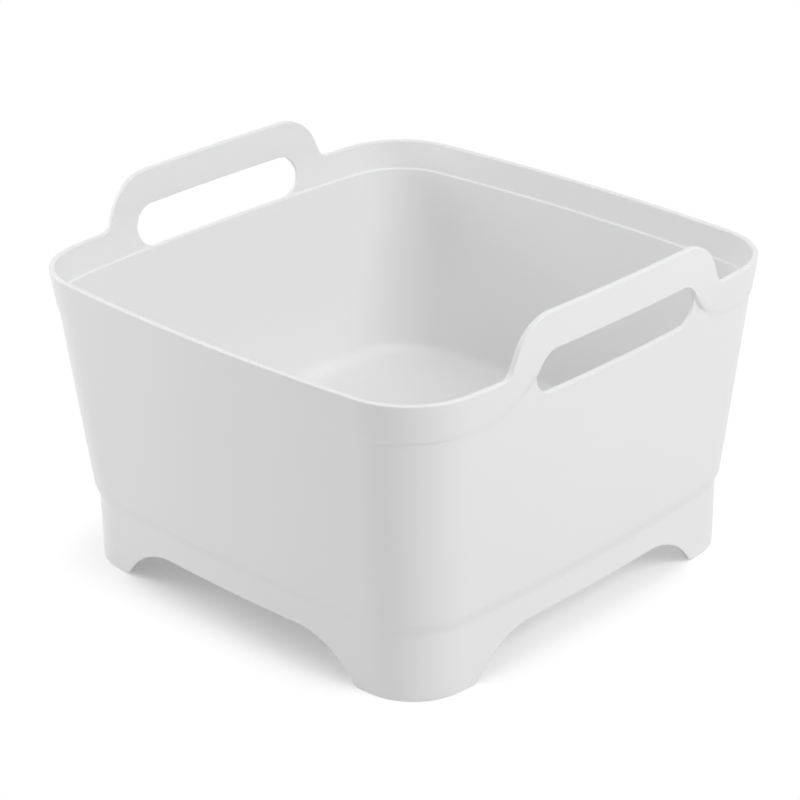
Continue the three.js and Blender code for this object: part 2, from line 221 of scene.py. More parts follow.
stepParts = (-0.5, -0.25, 0.0, 0.25, 0.5)  # rows across the band's step, as shares of its width
ledgeParts = (-1.0, 0.0, 0.25, 0.5, 0.75, 1.0, 2.0)

bandFoot = tub["rim"] - tub["bandHeight"]
ledge = tub["rim"] - tub["ledgeDepth"]
baseTop = tub["skirt"] + tub["baseRound"]
wallTopHalf = tub["rimHalf"] - tub["bandFlare"] - tub["bandStep"]
wallTopCorner = tub["rimCorner"] - tub["bandFlare"] - tub["bandStep"]
wallBottomHalf = wallTopHalf - tub["wallLean"]
skirtHalf = wallBottomHalf - tub["skirtInset"]
skirtCorner = tub["baseCorner"] - tub["skirtInset"]
slotEnd = tub["slotHeight"] / 2
slotStraight = tub["slotLength"] / 2 - slotEnd
slotMiddle = ledge + slotEnd
wallSplit = bandFoot - mesh["belowBand"]
skirtSplit = tub["archHeight"] + mesh["aboveArch"]


def mix(a, b, t):
    return a + (b - a) * t


def smooth(t):
    t = min(max(t, 0.0), 1.0)
    return t * t * (3 - 2 * t)


def spaced(a, b, count):
    # even steps after a, up to b
    return [mix(a, b, i / count) for i in range(1, count + 1)]


def wallSection(z, inset=0.0):
    share = (z - baseTop) / (bandFoot - baseTop)
    half = wallBottomHalf + share * tub["wallLean"]
    corner = mix(tub["baseCorner"], wallTopCorner, share)
    return half - inset, corner - inset


def bandSection(z, inset=0.0):
    # the flare eases into the upright handles around the rim
    slope = tub["bandFlare"] / tub["bandHeight"]
    ease = tub["rimEase"]
    past = min(max(z - (tub["rim"] - ease), 0.0), 2 * ease)
    lean = slope * (min(z, tub["rim"] + ease) - bandFoot - past * past / (4 * ease))
    half = tub["rimHalf"] - tub["bandFlare"] + lean
    corner = tub["rimCorner"] - tub["bandFlare"] + lean
    return half - inset, corner - inset


def blendSections(a, b, t):
    return mix(a[0], b[0], t), mix(a[1], b[1], t)


def stepShare(distance, crisp):
    # 0 on the wall and 1 on the band; the step between them is crisp or fades to a soft ramp
    return smooth(distance / mix(tub["softStep"], tub["crispStep"], crisp) + 0.5)


def outerHalf(z, distance, crisp):
    return mix(wallSection(z)[0], bandSection(z)[0], stepShare(distance, crisp))


def innerSection(z):
    share = smooth((z - ledge) / tub["ledgeRamp"])
    return blendSections(wallSection(z, tub["wallThickness"]), bandSection(z, tub["bandThickness"]), share)


def roundOff(distance, radius):
    # how far a skin draws in at this distance from a rounded edge
    if distance >= radius:
        return 0.0
    return radius - math.sqrt(max(radius * radius - (radius - distance) ** 2, 0.0))


def bowAt(half, along):
    return math.sqrt(tub["bow"] ** 2 - along ** 2) - (tub["bow"] - half)


def quarterRing(half, corner):
    # one bowed side, then the way round the corner to the next side
    reach = mesh["panelHalf"]
    cells = mesh["sideCells"]
    points = []
    for i in range(cells + 1):
        along = reach * (2 * i / cells - 1)
        points.append((bowAt(half, along), along))
    offset = tub["bow"] - half
    inner = tub["bow"] - corner
    centre = (math.sqrt(2 * inner * inner - offset * offset) - offset) / 2
    tangent = math.atan2(centre, centre + offset)
    start = math.asin(reach / tub["bow"])
    bowRun = tub["bow"] * (tangent - start)
    arcRun = corner * (math.pi / 2 - 2 * tangent)
    total = 2 * bowRun + arcRun
    for i in range(1, mesh["cornerCells"]):
        run = total * i / mesh["cornerCells"]
        flip = run > bowRun + arcRun
        run = total - run if flip else run
        if run < bowRun:
            angle = start + run / tub["bow"]
            point = (tub["bow"] * math.cos(angle) - offset, tub["bow"] * math.sin(angle))
        else:
            angle = tangent + (run - bowRun) / corner
            point = (centre + corner * math.cos(angle), centre + corner * math.sin(angle))
        points.append((point[1], point[0]) if flip else point)
    return points


def quarterTurn(x, y, turns):
    for _ in range(turns % 4):
        x, y = -y, x
    return x, y


class Shell:
    # vertices and faces of one closed shell, gathered row by row

    def __init__(self):
        self.points = []
        self.faces = []

    def add(self, points):
        first = len(self.points)
        self.points.extend(points)
        return list(range(first, len(self.points)))

    def row(self, quarter, z):
        return self.add([(*quarterTurn(x, y, turn), z) for turn in range(4) for x, y in quarter])

    def ring(self, section, z):
        return self.row(quarterRing(*section), z)

    def stitch(self, low, high, openSides=()):
        count = len(low)
        quarter = count // 4
        for i in range(count):
            onSide = i % quarter < mesh["sideCells"]
            if onSide and i // quarter in openSides:
                continue
            j = (i + 1) % count
            self.faces.append((low[i], low[j], high[j], high[i]))

    def stack(self, rows, openSides=()):
        for low, high in zip(rows, rows[1:]):
            self.stitch(low, high, openSides)


def arcPoints(centre, radius, start, end):
    steps = max(3, math.ceil(abs(end - start) * radius / mesh["arcCell"]))
    turns = [mix(start, end, i / steps) for i in range(steps + 1)]
    return [(centre[0] + radius * math.cos(a), centre[1] + radius * math.sin(a)) for a in turns]


def runPoints(a, b):
    steps = max(1, math.ceil(math.dist(a, b) / mesh["panelCell"]))
    return [(mix(a[0], b[0], i / steps), mix(a[1], b[1], i / steps)) for i in range(steps + 1)]


def joinPoints(*runs):
    path = []
    for run in runs:
        for point in run:
            if not path or math.dist(point, path[-1]) > mesh["join"]:
                path.append(point)
    return path


def mirrored(path):
    return [(-y, z) for y, z in reversed(path)]


def handleOutline():
    angle = math.radians(tub["sideAngle"])
    topHalf = tub["handleTop"] / 2
    shoulder, foot = tub["shoulder"], tub["handleFoot"]
    shoulderEnd = (topHalf + shoulder * math.sin(angle), tub["top"] - shoulder * (1 - math.cos(angle)))
    filletZ = tub["rim"] + foot * (1 - math.cos(angle))
    filletY = shoulderEnd[0] + (shoulderEnd[1] - filletZ) / math.tan(angle)
    footY = filletY + foot * math.sin(angle)
    up = math.pi / 2
    half = joinPoints(
        runPoints((0, tub["top"]), (topHalf, tub["top"])),
        arcPoints((topHalf, tub["top"] - shoulder), shoulder, up, up - angle),
        runPoints(shoulderEnd, (filletY, filletZ)),
        arcPoints((footY, tub["rim"] + foot), foot, -up - angle, -up),
        runPoints((footY, tub["rim"]), (mesh["panelHalf"], tub["rim"])),
    )
    return joinPoints(mirrored(half), half)


def slotOutline():
    right = arcPoints((slotStraight, slotMiddle), slotEnd, -math.pi / 2, math.pi / 2)
    top = runPoints((slotStraight, slotMiddle + slotEnd), (-slotStraight, slotMiddle + slotEnd))
    left = [(-y, z) for y, z in reversed(right)]
    bottom = runPoints((-slotStraight, ledge), (slotStraight, ledge))
    return joinPoints(right, top, left, bottom)[:-1]


def archOutline():
    angle = math.radians(tub["archAngle"])
    topHalf, radius, foot = tub["archTop"] / 2, tub["archRadius"], tub["archFoot"]
    flankEnd = (topHalf + radius * math.sin(angle), tub["archHeight"] - radius * (1 - math.cos(angle)))
    # the toe is eased where the flank meets the table
    run = foot * math.tan(angle / 2)
    toe = (flankEnd[0] + flankEnd[1] / math.tan(angle), 0.0)
    easeStart = (toe[0] + run, 0.0)
    ease = arcPoints((easeStart[0], foot), foot, 1.5 * math.pi, 1.5 * math.pi - angle)
    rise = arcPoints((topHalf, tub["archHeight"] - radius), radius, math.pi / 2 - angle, math.pi / 2)
    flank = [p for p in rise if p[1] > ease[-1][1] + mesh["arcCell"] / 2]
    half = joinPoints(
        runPoints((mesh["panelHalf"], 0.0), easeStart),
        ease,
        flank,
        runPoints((topHalf, tub["archHeight"]), (0.0, tub["archHeight"])),
    )
    return joinPoints(half, mirrored(half))


def offsetPath(path, distance, closed=False):
    # moves a path towards the material, which lies on its right hand
    count = len(path)
    moved = []
    for i, (y, z) in enumerate(path):
        before = path[i - 1] if closed or i > 0 else path[i]
        after = path[(i + 1) % count] if closed or i < count - 1 else path[i]
        dy, dz = after[0] - before[0], after[1] - before[1]
        length = math.hypot(dy, dz)
        moved.append((y + distance * dz / length, z - distance * dy / length))
    return moved


def roundSteps(radius):
    # distances from an edge at which its rounding gets a row, and one beyond it
    count = mesh["roundCells"]
    steps = [radius * (1 - math.cos(math.pi / 2 * i / count)) for i in range(count + 1)]
    return steps + [2 * radius]


def pathDistance(point, path, closed=False):
    pairs = list(zip(path, path[1:])) + ([(path[-1], path[0])] if closed else [])
    best = math.inf
    for (ay, az), (by, bz) in pairs:
        dy, dz = by - ay, bz - az
        share = ((point[0] - ay) * dy + (point[1] - az) * dz) / (dy * dy + dz * dz)
        share = min(max(share, 0.0), 1.0)
        best = min(best, math.hypot(point[0] - ay - share * dy, point[1] - az - share * dz))
    return best


def insidePath(point, path):
    y, z = point
    inside = False
    for (ay, az), (by, bz) in zip(path, path[1:] + path[:1]):
        if (az > z) != (bz > z) and y < ay + (by - ay) * (z - az) / (bz - az):
            inside = not inside
    return inside


def triangulatePanel(paths, frameRows, contains, clear):
    # constrained triangles over one side panel: paths are (points, closed)
    points, edges = [], []
    known = {}

    def place(point):
        key = tuple(round(value, mesh["digits"]) for value in point)
        if key not in known:
            known[key] = len(points)
            points.append(point)
        return known[key]

    for path, closed in paths:
        ids = [place(p) for p in path]
        edges.extend(zip(ids, ids[1:]))
        if closed:
            edges.append((ids[-1], ids[0]))
    low = min(frameRows)
    reach, cell = mesh["panelHalf"], mesh["panelCell"]
    for side in (-reach, reach):
        ids = [place((side, z)) for z in frameRows]
        edges.extend(zip(ids, ids[1:]))
    steps = round(2 * reach / cell)
    rows = math.ceil((clear["top"] - low) / cell)
    for i in range(1, steps):
        for j in range(rows):
            point = (-reach + cell * i, low + cell * j)
            if contains(point) and clear["distance"](point) > cell * mesh["cellGap"]:
                place(point)
    vectors = [Vector(p) for p in points]
    found, _, triangles, _, _, _ = delaunay_2d_cdt(vectors, edges, [], 1, mesh["fine"])
    found = [(v.x, v.y) for v in found]

    def middle(face):
        return tuple(sum(found[i][k] for i in face) / len(face) for k in (0, 1))

    return found, [tuple(f) for f in triangles if contains(middle(f))]


def addPanel(shell, turn, panel, outerPoint, innerPoint, edgeDistance):
    found, triangles = panel
    outer = shell.add([(*quarterTurn(*outerPoint(y, z)[:2], turn), z) for y, z in found])
    inner = shell.add([(*quarterTurn(*innerPoint(y, z)[:2], turn), z) for y, z in found])
    uses = {}
    for face in triangles:
        shell.faces.append(tuple(outer[i] for i in face))
        shell.faces.append(tuple(inner[i] for i in reversed(face)))
        for a, b in zip(face, face[1:] + face[:1]):
            uses.setdefault(frozenset((a, b)), []).append((a, b))
    for sides in uses.values():
        a, b = sides[0]
        if len(sides) == 1 and max(edgeDistance[a], edgeDistance[b]) < mesh["onEdge"]:
            shell.faces.append((outer[b], outer[a], inner[a], inner[b]))


# where the band's foot leaves its level line and sweeps up to the slot's end
sweepZ = bandFoot + tub["sweep"]
sweepGap = slotEnd + tub["sweep"]
sweepY = slotStraight + math.sqrt(sweepGap ** 2 - (sweepZ - slotMiddle) ** 2)


def bandDistance(y, z):
    # past the slot's end the line between both centres parts the handle from the sweep
    past = max(abs(y) - slotStraight, 0.0)
    if (z - slotMiddle) * (sweepY - slotStraight) > past * (sweepZ - slotMiddle):
        return tub["bandHeight"]
    return tub["sweep"] - math.dist((abs(y), z), (sweepY, sweepZ))


def panelCrisp(y):
    return smooth((tub["softEnd"] - abs(y)) / (tub["softEnd"] - tub["crispEnd"]))


def bandPaths(keepClear):
    tangent = math.atan2(slotMiddle - sweepZ, slotStraight - sweepY)
    foot = arcPoints((sweepY, sweepZ), tub["sweep"], -math.pi / 2, tangent)
    paths = []
    for part in stepParts:
        path = []
        for y, z in foot:
            shift = part * mix(tub["softStep"], tub["crispStep"], panelCrisp(y)) / tub["sweep"]
            point = (y - shift * (y - sweepY), z - shift * (z - sweepZ))
            if keepClear(point):
                path.append(point)
        paths += [(path, False), ([(-y, z) for y, z in path], False)]
    return paths


def ledgePaths(keepClear):
    paths = []
    for part in ledgeParts:
        z = ledge + part * tub["ledgeRamp"]
        path = [p for p in runPoints((mesh["panelHalf"], z), (0.0, z)) if keepClear(p)]
        paths += [(path, False), ([(-y, z) for y, z in path], False)]
    return paths


def rimRows():
    rows = [wallSplit] + spaced(wallSplit, bandFoot - tub["softStep"], mesh["lowCells"])[:-1]
    shifts = {part * tub[step] for part in stepParts for step in ("softStep", "crispStep")}
    rows += [bandFoot + shift for shift in sorted(shifts)]
    rows += [ledge + part * tub["ledgeRamp"] for part in ledgeParts]
    rows += spaced(rows[-1], tub["rim"] - 2 * tub["rimRound"], mesh["bandCells"])[:-1]
    return rows + [tub["rim"] - d for d in reversed(roundSteps(tub["rimRound"]))]


def handlePanel(rows):
    outline, slot = handleOutline(), slotOutline()
    steps = roundSteps(tub["rimRound"])
    paths = [(offsetPath(outline, d), False) for d in steps]
    paths += [(offsetPath(slot, d, True), True) for d in steps]
    border = outline + [(mesh["panelHalf"], wallSplit), (-mesh["panelHalf"], wallSplit)]

    def contains(point):
        return insidePath(point, border) and not insidePath(point, slot)

    def edge(point):
        return min(pathDistance(point, outline), pathDistance(point, slot, True))

    def keepClear(point):
        return edge(point) > steps[-1] + mesh["lineGap"] and contains((point[0] * mesh["inward"], point[1]))

    lines = bandPaths(keepClear) + ledgePaths(keepClear)
    bottom = runPoints((-mesh["panelHalf"], wallSplit), (mesh["panelHalf"], wallSplit))

    def distance(point):
        lineGap = min(pathDistance(point, path) for path, _ in lines if len(path) > 1)
        return min(edge(point) - steps[-1], lineGap, point[1] - wallSplit)

    clear = {"top": tub["top"], "distance": distance}
    panel = triangulatePanel(paths + lines + [(bottom, False)], rows, contains, clear)
    return panel, [edge(p) for p in panel[0]]


def archPanel(rows):
    outline = archOutline()
    steps = roundSteps(tub["footRound"])
    paths = [(offsetPath(outline, d), False) for d in steps]
    border = outline + [(-mesh["panelHalf"], skirtSplit), (mesh["panelHalf"], skirtSplit)]

    def contains(point):
        return insidePath(point, border)

    def edge(point):
        return pathDistance(point, outline)

    def distance(point):
        return min(edge(point) - steps[-1], skirtSplit - point[1])

    top = runPoints((-mesh["panelHalf"], skirtSplit), (mesh["panelHalf"], skirtSplit))
    clear = {"top": skirtSplit, "distance": distance}
    panel = triangulatePanel(paths + [(top, False)], rows, contains, clear)
    return panel, [edge(p) for p in panel[0]]


def floorAt(radius):
    share = (tub["fallRadius"] - radius) / (tub["fallRadius"] - tub["well"])
    share = min(max(share, 0.0), 1.0)
    return tub["floor"] - tub["floorFall"] * mix(share, smooth(share), tub["fallEase"])


def roundRow(shell, radius, z):
    angles = [math.atan2(y, x) for x, y in quarterRing(skirtHalf, skirtCorner)]
    turned = [a + turn * math.pi / 2 for turn in range(4) for a in angles]
    return shell.add([(radius * math.cos(a), radius * math.sin(a), z) for a in turned])


def dishRow(shell, section, radius, share, drop):
    # a floor row part way from the walls' plan to the round well
    angles = [math.atan2(y, x) for x, y in quarterRing(skirtHalf, skirtCorner)]
    row = []
    for turn in range(4):
        for (x, y), a in zip(quarterRing(*section), angles):
            x, y = mix(x, radius * math.cos(a), share), mix(y, radius * math.sin(a), share)
            row.append((*quarterTurn(x, y, turn), floorAt(math.hypot(x, y)) - drop))
    return shell.add(row)


def floorFillet(section, z):
    # sections that curve down and inwards from the foot of the inner wall
    rows = []
    for a in spaced(0.0, math.pi / 2, mesh["filletCells"]):
        inward = tub["floorRound"] * (1 - math.cos(a))
        rows.append(((section[0] - inward, section[1] - inward), z - tub["floorRound"] * math.sin(a)))
    return rows


def bandRow(shell, z, draw):
    # the band's foot is a crisp step round the corners and fades along the sides
    wall, band = (
        quarterRing(half - draw, corner - draw) for half, corner in (wallSection(z), bandSection(z))
    )
    cells, middle = mesh["cornerCells"], mesh["sideCells"] + mesh["cornerCells"] / 2
    points = []
    for i, (a, b) in enumerate(zip(wall, band)):
        crisp = smooth(tub["cornerCrisp"] - tub["cornerFade"] * abs(i - middle) / cells)
        share = stepShare(z - bandFoot, crisp)
        points.append((mix(a[0], b[0], share), mix(a[1], b[1], share)))
    return shell.row(points, z)


def addWalls(shell, rows):
    # both skins of the rim band and upper wall; the two handle sides are panels
    draws = [roundOff(max(tub["rim"] - z, 0.0), tub["rimRound"]) for z in rows]
    outer = [bandRow(shell, z, d) for z, d in zip(rows, draws)]
    inner = [shell.ring((innerSection(z)[0] + d, innerSection(z)[1] + d), z) for z, d in zip(rows, draws)]
    shell.stack(outer, (0, 2))
    shell.stack(inner, (0, 2))
    shell.stitch(outer[-1], inner[-1], (0, 2))
    panel, edges = handlePanel(rows)
    edgeAt = dict(zip(panel[0], edges))

    def skins(y, z):
        # beside the slot the wall is thinner, and its rounding smaller
        outside, inside = outerHalf(z, bandDistance(y, z), panelCrisp(y)), innerSection(z)[0]
        draw = roundOff(edgeAt[(y, z)], min(tub["rimRound"], tub["roundShare"] * (outside - inside)))
        return outside - draw, inside + draw

    def outerPoint(y, z):
        return bowAt(skins(y, z)[0], y), y

    def innerPoint(y, z):
        return bowAt(skins(y, z)[1], y), y

    for turn in (0, 2):
        addPanel(shell, turn, panel, outerPoint, innerPoint, edges)
    return outer[0], inner[0]


def addSkirt(shell):
    steps = roundSteps(tub["footRound"])
    rows = steps + spaced(steps[-1], skirtSplit, mesh["skirtCells"])
    draws = [roundOff(z, tub["footRound"]) for z in rows]
    thickness = tub["skirtThickness"]
    outer = [shell.ring((skirtHalf - d, skirtCorner - d), z) for z, d in zip(rows, draws)]
    innerHalf, innerCorner = skirtHalf - thickness, skirtCorner - thickness
    inner = [shell.ring((innerHalf + d, innerCorner + d), z) for z, d in zip(rows, draws)]
    sides = (0, 1, 2, 3)
    shell.stack(outer, sides)
    shell.stack(inner, sides)
    shell.stitch(outer[0], inner[0], sides)
    panel, edges = archPanel(rows)
    drawAt = {p: roundOff(e, tub["footRound"]) for p, e in zip(panel[0], edges)}

    def outerPoint(y, z):
        return bowAt(skirtHalf - drawAt[(y, z)], y), y

    def innerPoint(y, z):
        return bowAt(innerHalf + drawAt[(y, z)], y), y

    for turn in sides:
        addPanel(shell, turn, panel, outerPoint, innerPoint, edges)
    return outer[-1], inner[-1]


def addOutside(shell, skirtRow, wallRow):
    low, high = tub["skirt"] - tub["baseEase"], baseTop + tub["baseEase"]
    rows = [skirtRow]
    rows += [shell.ring((skirtHalf, skirtCorner), z) for z in spaced(skirtSplit, low, mesh["kneeCells"])]
    cells = mesh["easeCells"]
    for i, z in enumerate(spaced(low, high, cells)[:-1], 1):
        # the wall rolls under softly and meets the skirt
        section = blendSections((skirtHalf, skirtCorner), wallSection(z), smooth(i / cells))
        rows.append(shell.ring(section, z))
    for z in [high] + spaced(high, wallSplit, mesh["wallCells"])[:-1]:
        rows.append(shell.ring(wallSection(z), z))
    shell.stack(rows + [wallRow])


def addInside(shell, wallRow):
    filletTop = tub["floor"] + tub["floorRound"]
    rows = [wallRow]
    for z in spaced(wallSplit, filletTop, mesh["wallCells"]):
        rows.append(shell.ring(wallSection(z, tub["wallThickness"]), z))
    fillet = floorFillet(wallSection(filletTop, tub["wallThickness"]), filletTop)
    rows += [shell.ring(section, z) for section, z in fillet]
    lip = tub["well"] + tub["wellRound"]
    rows += [dishRow(shell, fillet[-1][0], lip, share, 0.0) for share in spaced(0.0, 1.0, mesh["dishCells"])]
    for a in spaced(0.0, math.pi / 2, mesh["lipCells"]):
        drop = tub["wellRound"] * (1 - math.cos(a))
        rows.append(roundRow(shell, lip - tub["wellRound"] * math.sin(a), floorAt(lip) - drop))
    seat, ease = tub["floor"] - tub["floorFall"] - tub["wellDepth"], tub["seatEase"]
    seatBottom = seat - tub["seat"]
    for radius, z in (
        (tub["well"], seat + ease), (tub["well"] - ease, seat), (tub["drain"] + ease, seat),
        (tub["drain"], seat - ease), (tub["drain"], seatBottom + tub["drainEase"]),
    ):
        rows.append(roundRow(shell, radius, z))
    shell.stack(rows)
    return rows[-1], seatBottom


def addUnderside(shell, drainRow, seatBottom, skirtRow):
    collar, drop, ease = tub["well"] + tub["wellWall"], tub["floorThickness"], tub["collarEase"]
    rows = [drainRow]
    for radius, z in (
        (tub["drain"] + tub["drainEase"], seatBottom), (collar - ease, seatBottom),
        (collar, seatBottom + ease), (collar, floorAt(collar) - drop - tub["underEase"]),
    ):
        rows.append(roundRow(shell, radius, z))
    half, corner = skirtHalf - tub["skirtThickness"], skirtCorner - tub["skirtThickness"]
    inset, knee, top = tub["skirtEase"], tub["skirtKnee"], tub["floor"] - drop
    for share in [1.0] + spaced(1.0, 0.0, mesh["underCells"]):
        rows.append(dishRow(shell, (half - inset, corner - inset), collar + tub["underEase"], share, drop))
    rows.append(shell.ring((half - knee, corner - knee), top - knee))
    rows.append(shell.ring((half, corner), top - inset))
    shell.stack(rows + [skirtRow])


def closedMesh(name, points, faces, material):
    # millimetre points to one welded, outward-facing mesh at the origin
    data = bpy.data.meshes.new(name)
    data.from_pydata([(x * mm, y * mm, z * mm) for x, y, z in points], [], faces)
    work = bmesh.new()
    work.from_mesh(data)
    bmesh.ops.remove_doubles(work, verts=work.verts, dist=mesh["weld"] * mm)
    bmesh.ops.recalc_face_normals(work, faces=work.faces)
    work.to_mesh(data)
    work.free()
    data.materials.append(material)
    piece = bpy.data.objects.new(name, data)
    scene.collection.objects.link(piece)
    return piece


def shadePiece(piece, sharpAngle):
    # smooth all over, but for edges sharper than the limit
    work = bmesh.new()
    work.from_mesh(piece.data)
    for edge in work.edges:
        edge.smooth = edge.calc_face_angle(0.0) < math.radians(sharpAngle)
    for face in work.faces:
        face.smooth = True
    openEdges = sum(not edge.is_manifold for edge in work.edges)
    work.to_mesh(piece.data)
    work.free()
    print(piece.name, "faces", len(piece.data.polygons), "open edges", openEdges)


def makeTub():
    shell = Shell()
    outerRow, innerRow = addWalls(shell, rimRows())
    skirtOuter, skirtInner = addSkirt(shell)
    addOutside(shell, skirtOuter, outerRow)
    drainRow, seatBottom = addInside(shell, innerRow)
    addUnderside(shell, drainRow, seatBottom, skirtInner)
    piece = closedMesh("tubMoulding", shell.points, shell.faces, materials["tubPlastic"])
    shadePiece(piece, mesh["sharpAngle"])
    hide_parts("tub")
    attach(piece, "basin")
    return piece


makeTub()

# drain: turned shapes take their profile as corners (radius, height, rounding)
drainMesh = {"turnSteps": 96, "holeSides": 24, "roundCells": 4, "sharpAngle": 40.0}


def span(node):
    low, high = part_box(node)
    return low.z / mm, high.z / mm


def roundedProfile(corners):
    points = []
    for i, (radius, z, rounding) in enumerate(corners):
        here = Vector((radius, z))
        back = (Vector(corners[i - 1][:2]) - here).normalized()
        ahead = (Vector(corners[(i + 1) % len(corners)][:2]) - here).normalized()
        if rounding == 0:
            points.append(tuple(here))
            continue
        half = back.angle(ahead) / 2
        centre = here + (back + ahead).normalized() * rounding / math.sin(half)
        start = here + back * rounding / math.tan(half) - centre
        end = here + ahead * rounding / math.tan(half) - centre
        for j in range(drainMesh["roundCells"] + 1):
            spoke = start.lerp(end, j / drainMesh["roundCells"]).normalized()
            points.append(tuple(centre + spoke * rounding))
    return points


def turnedShell(corners):
    profile = roundedProfile(corners)
    steps, count = drainMesh["turnSteps"], len(profile)
    points, faces = [], []
    for i in range(steps):
        a = 2 * math.pi * i / steps
        points += [(radius * math.cos(a), radius * math.sin(a), z) for radius, z in profile]
        here, onward = i * count, (i + 1) % steps * count
        for j in range(count):
            k = (j + 1) % count
            if profile[j][0] > 0 or profile[k][0] > 0:
                faces.append((here + j, onward + j, onward + k, here + k))
    return points, faces


def pillowShell(path, half, edge, place):
    # an outline given thickness and rounded edges; place turns (u, v, w) into x, y, z
    turns = [math.pi / 2 * i / mesh["roundCells"] for i in range(mesh["roundCells"] + 1)]
    levels = [(edge * (1 - math.cos(a)), half - edge + edge * math.sin(a)) for a in turns]
    levels = [(inset, -w) for inset, w in reversed(levels)] + levels
    points, faces = [], []
    count = len(path)
    for row, (inset, w) in enumerate(levels):
        points += [place(u, v, w) for u, v in offsetPath(path, inset, True)]
        if row:
            first = (row - 1) * count
            for i in range(count):
                j = (i + 1) % count
                faces.append((first + i, first + j, first + count + j, first + count + i))
    faces.append(tuple(range(count)))
    faces.append(tuple(range(len(points) - count, len(points))))
    return points, faces


def barOutline(half, low, high, lowRound, highRound):
    # a rounded bar outline, run so that its inside lies on the right hand
    quarter = math.pi / 2
    return joinPoints(
        arcPoints((lowRound - half, low + lowRound), lowRound, -quarter, -2 * quarter),
        arcPoints((highRound - half, high - highRound), highRound, 2 * quarter, quarter),
        arcPoints((half - highRound, high - highRound), highRound, quarter, 0),
        arcPoints((half - lowRound, low + lowRound), lowRound, 0, -quarter),
    )


def joinShells(*shells):
    points, faces = [], []
    for shellPoints, shellFaces in shells:
        first = len(points)
        points += shellPoints
        faces += [tuple(first + i for i in face) for face in shellFaces]
    return points, faces


def cuttingTree(name, inputs, scatter):
    # a tree that cuts tools out of the piece it is put on; scatter gives the points and the tool
    group = bpy.data.node_groups.new(name, "GeometryNodeTree")
    addSockets(group, "INPUT", [("Geometry", "Geometry"), *inputs, ("Material", "Material")])
    addSockets(group, "OUTPUT", [("Geometry", "Geometry")])
    given = group.nodes.new("NodeGroupInput").outputs
    points, tool = scatter(group, given)
    spread = addNode(group, "GeometryNodeInstanceOnPoints", {"Points": points, "Instance": tool})
    cut = addNode(group, "GeometryNodeMeshBoolean", {
        "Mesh 1": given["Geometry"], "Mesh 2": spread.outputs["Instances"],
    }, operation="DIFFERENCE", solver="MANIFOLD")
    real = addNode(group, "GeometryNodeRealizeInstances", {"Geometry": cut.outputs["Mesh"]})
    painted = addNode(group, "GeometryNodeSetMaterial", {
        "Geometry": real.outputs["Geometry"], "Material": given["Material"],
    })
    addNode(group, "NodeGroupOutput", {"Geometry": painted.outputs["Geometry"]})
    return group


def vectorOf(group, **parts):
    return addNode(group, "ShaderNodeCombineXYZ", parts).outputs["Vector"]


def roundTool(group, given):
    return addNode(group, "GeometryNodeMeshCylinder", {
        "Vertices": drainMesh["holeSides"], "Radius": given["Tool Radius"], "Depth": given["Depth"],
    }).outputs["Mesh"]


def ringScatter(group, given):
    circle = addNode(group, "GeometryNodeMeshCircle", {
        "Vertices": given["Count"], "Radius": given["Ring Radius"],
    })
    turned = addNode(group, "GeometryNodeTransform", {
        "Geometry": circle.outputs["Mesh"], "Translation": vectorOf(group, Z=given["Middle"]),
        "Rotation": vectorOf(group, Z=given["First Angle"]),
    })
    return turned.outputs["Geometry"], roundTool(group, given)


def rowScatter(group, given):
    row = addNode(group, "GeometryNodeMeshLine", {
        "Count": given["Count"], "Offset": vectorOf(group, X=given["Pitch"]),
        "Start Location": vectorOf(group, X=given["Start"], Y=given["Side"], Z=given["Middle"]),
    })
    box = addNode(group, "GeometryNodeMeshCube", {
        "Size": vectorOf(group, X=given["Length"], Y=given["Width"], Z=given["Depth"]),
    })
    pick = addNode(group, "GeometryNodeSwitch", {
        "Switch": given["Square"], "False": roundTool(group, given), "True": box.outputs["Mesh"],
    }, input_type="GEOMETRY")
    return row.outputs["Mesh"], pick.outputs["Output"]


ringCut = cuttingTree("ringCut", [
    ("Count", "Int"), ("Ring Radius", "Float"), ("Tool Radius", "Float"), ("Middle", "Float"),
    ("Depth", "Float"), ("First Angle", "Float"),
], ringScatter)
rowCut = cuttingTree("rowCut", [
    ("Count", "Int"), ("Start", "Float"), ("Pitch", "Float"), ("Side", "Float"), ("Tool Radius", "Float"),
    ("Middle", "Float"), ("Depth", "Float"), ("Square", "Bool"), ("Length", "Float"), ("Width", "Float"),
], rowScatter)


def drainPiece(name, node, body, finish, shell, cuts=()):
    piece = closedMesh(name, *shell, materials[finish])
    for tree, values in cuts:
        values["Material"] = materials[finish]
        modifier = piece.modifiers.new(tree.name, "NODES")
        modifier.node_group = tree
        for item in tree.interface.items_tree:
            if item.in_out == "INPUT" and item.name in values:
                modifier[item.identifier] = values[item.name]
    if cuts:
        graph = bpy.context.evaluated_depsgraph_get()
        piece.data = bpy.data.meshes.new_from_object(piece.evaluated_get(graph), depsgraph=graph)
        piece.modifiers.clear()
    shadePiece(piece, drainMesh["sharpAngle"])
    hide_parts(node)
    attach(piece, body)
    return piece


def ringOf(count, ringRadius, toolRadius, low, high, firstAngle=0.0):
    return ringCut, {
        "Count": count, "Ring Radius": ringRadius * mm, "Tool Radius": toolRadius * mm,
        "Middle": (low + high) / 2 * mm, "Depth": (high - low) * mm, "First Angle": firstAngle,
    }


def rowOf(count, pitch, side, toolRadius, low, high):
    return rowCut, {
        "Count": count, "Start": -(count - 1) * pitch / 2 * mm, "Pitch": pitch * mm, "Side": side * mm,
        "Tool Radius": toolRadius * mm, "Middle": (low + high) / 2 * mm, "Depth": (high - low) * mm,
    }


def blockCut(length, width, low, high):
    return rowCut, {
        "Count": 1, "Middle": (low + high) / 2 * mm, "Depth": (high - low) * mm,
        "Square": True, "Length": length * mm, "Width": width * mm,
    }


def flatRing(node, inner, outer, innerEdge, outerEdge):
    low, high = span(node)
    return turnedShell([
        (inner, low, innerEdge), (outer, low, outerEdge), (outer, high, outerEdge), (inner, high, innerEdge),
    ])


